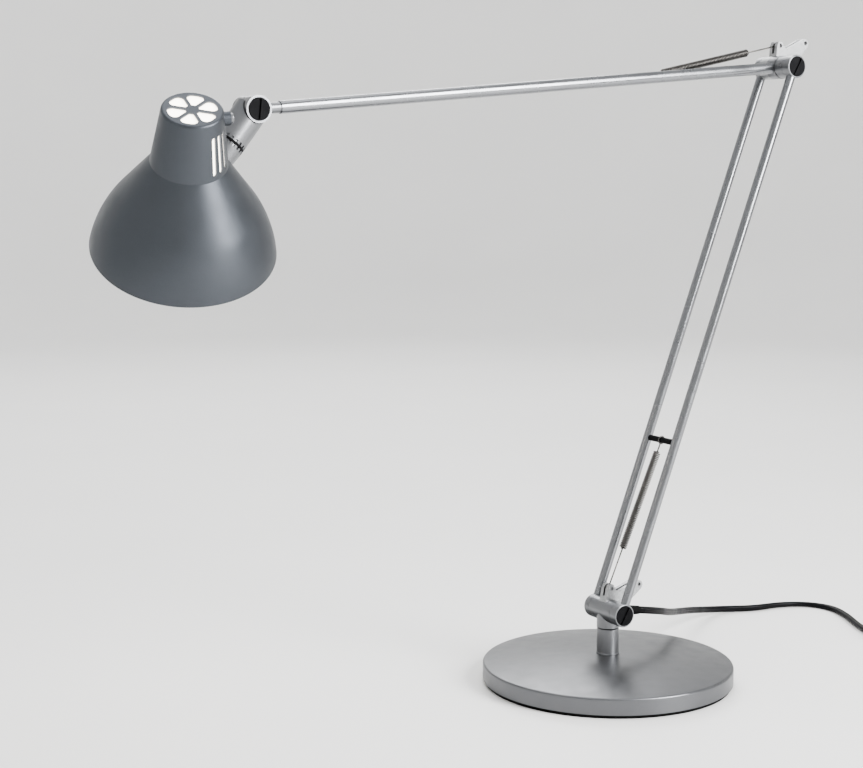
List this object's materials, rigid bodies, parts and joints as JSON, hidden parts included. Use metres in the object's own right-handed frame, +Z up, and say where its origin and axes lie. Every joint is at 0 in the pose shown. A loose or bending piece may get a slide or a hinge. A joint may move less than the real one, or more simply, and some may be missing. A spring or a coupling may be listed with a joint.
{
  "type": "desk lamp",
  "caption": "Spring-balanced architect desk lamp with a round weighted base, twin-rod lower arm, tube upper arm and a vented bell shade.",
  "frame": {"origin": "centre of the round base, on the surface that it stands on", "axes": "+Z up; the arms fold in the XZ plane, the lower arm leans towards +X and the head is at -X; -Y is the camera side"},
  "size_m": [0.884, 0.2423, 0.565],
  "materials": {
    "black_rubber": "matt",
    "cast_iron": "rough",
    "silver_paint": "satin metallic paint",
    "plain_steel": "turned",
    "black_plastic": "fine grain",
    "zinc_casting": "cast, tumbled",
    "bright_rod": "satin",
    "spring_steel": "oil dark",
    "cord_black": "soft sheen",
    "pin_metal": "nickel plated",
    "shade_grey": "satin metallic paint",
    "white_enamel": "gloss",
    "white_plastic": "moulded",
    "lit_glass": "opal"
  },
  "bodies": {
    "base": {"foot_pad": "black_rubber", "base_weight": "cast_iron", "base_cover": "silver_paint", "post": "silver_paint", "post_bolt": "plain_steel", "swivel_washer": "black_plastic", "swivel_pin": "plain_steel"},
    "swivel": {"base_knuckle": "silver_paint", "swivel_screw": "plain_steel", "cord_gland": "black_rubber", "lower_spring_bracket": "zinc_casting", "lower_ear_pin": "plain_steel", "mains_cord": "cord_black", "cord_coil": "cord_black", "plug": "cord_black", "plug_pins": "pin_metal"},
    "lower_arm": {"lower_rings": "silver_paint", "lower_ring_cap": "black_plastic", "lower_axle": "plain_steel", "near_rod": "bright_rod", "far_rod": "bright_rod", "crossbar_pin": "plain_steel", "crossbar": "black_plastic", "elbow_rings": "silver_paint", "elbow_ring_cap": "black_plastic", "elbow_axle": "plain_steel", "elbow_bracket": "zinc_casting", "elbow_ear_pin": "plain_steel", "friction_disc": "silver_paint", "elbow_spacer": "silver_paint", "lower_spring": "spring_steel"},
    "upper_arm": {"elbow_hub": "silver_paint", "upper_tube": "bright_rod", "side_pin": "plain_steel", "head_ring": "silver_paint", "head_cap": "black_plastic", "head_axle": "plain_steel", "head_end_cap": "black_plastic", "upper_spring": "spring_steel"},
    "neck": {"head_knuckle": "silver_paint", "seam_ring": "black_plastic"},
    "shade": {"shade_shell": "shade_grey", "shade_liner": "white_enamel", "shade_collar": "silver_paint", "shade_stem": "plain_steel", "stem_nut": "plain_steel", "socket_cap": "shade_grey", "cap_diffuser": "white_plastic", "switch_body": "shade_grey", "lampholder": "white_plastic", "holder_ring": "white_plastic", "holder_contact": "pin_metal", "bulb_screw": "pin_metal", "bulb_glass": "lit_glass"},
    "button": {"switch_button": "silver_paint"}
  },
  "joints": [
    {"name": "base_swivel", "type": "hinge", "parent": "base", "child": "swivel", "pos_m": [0, 0, 0.0485], "axis": [0, 0, 1], "range_deg": [-170, 170]},
    {"name": "lower_tilt", "type": "hinge", "parent": "swivel", "child": "lower_arm", "pos_m": [0, 0, 0.0638], "axis": [0, 1, 0], "range_deg": [-30, 35], "deforming": ["lower_spring"]},
    {"name": "elbow_tilt", "type": "hinge", "parent": "lower_arm", "child": "upper_arm", "pos_m": [0.18122, 0, 0.53838], "axis": [0, 1, 0], "range_deg": [-35, 50], "deforming": ["upper_spring"]},
    {"name": "neck_tilt", "type": "hinge", "parent": "upper_arm", "child": "neck", "pos_m": [-0.33289, 0, 0.4943], "axis": [0, 1, 0], "range_deg": [-25, 75]},
    {"name": "shade_swivel", "type": "hinge", "parent": "neck", "child": "shade", "pos_m": [-0.35321, 0.0093, 0.4683], "axis": [-0.6157, 0, -0.788], "range_deg": [-150, 150]},
    {"name": "button_press", "type": "slide", "parent": "shade", "child": "button", "axis": [-0.9828, 0.1629, -0.087], "range_m": [0, 0.002], "stiffness_N_per_m": 400}
  ]
}
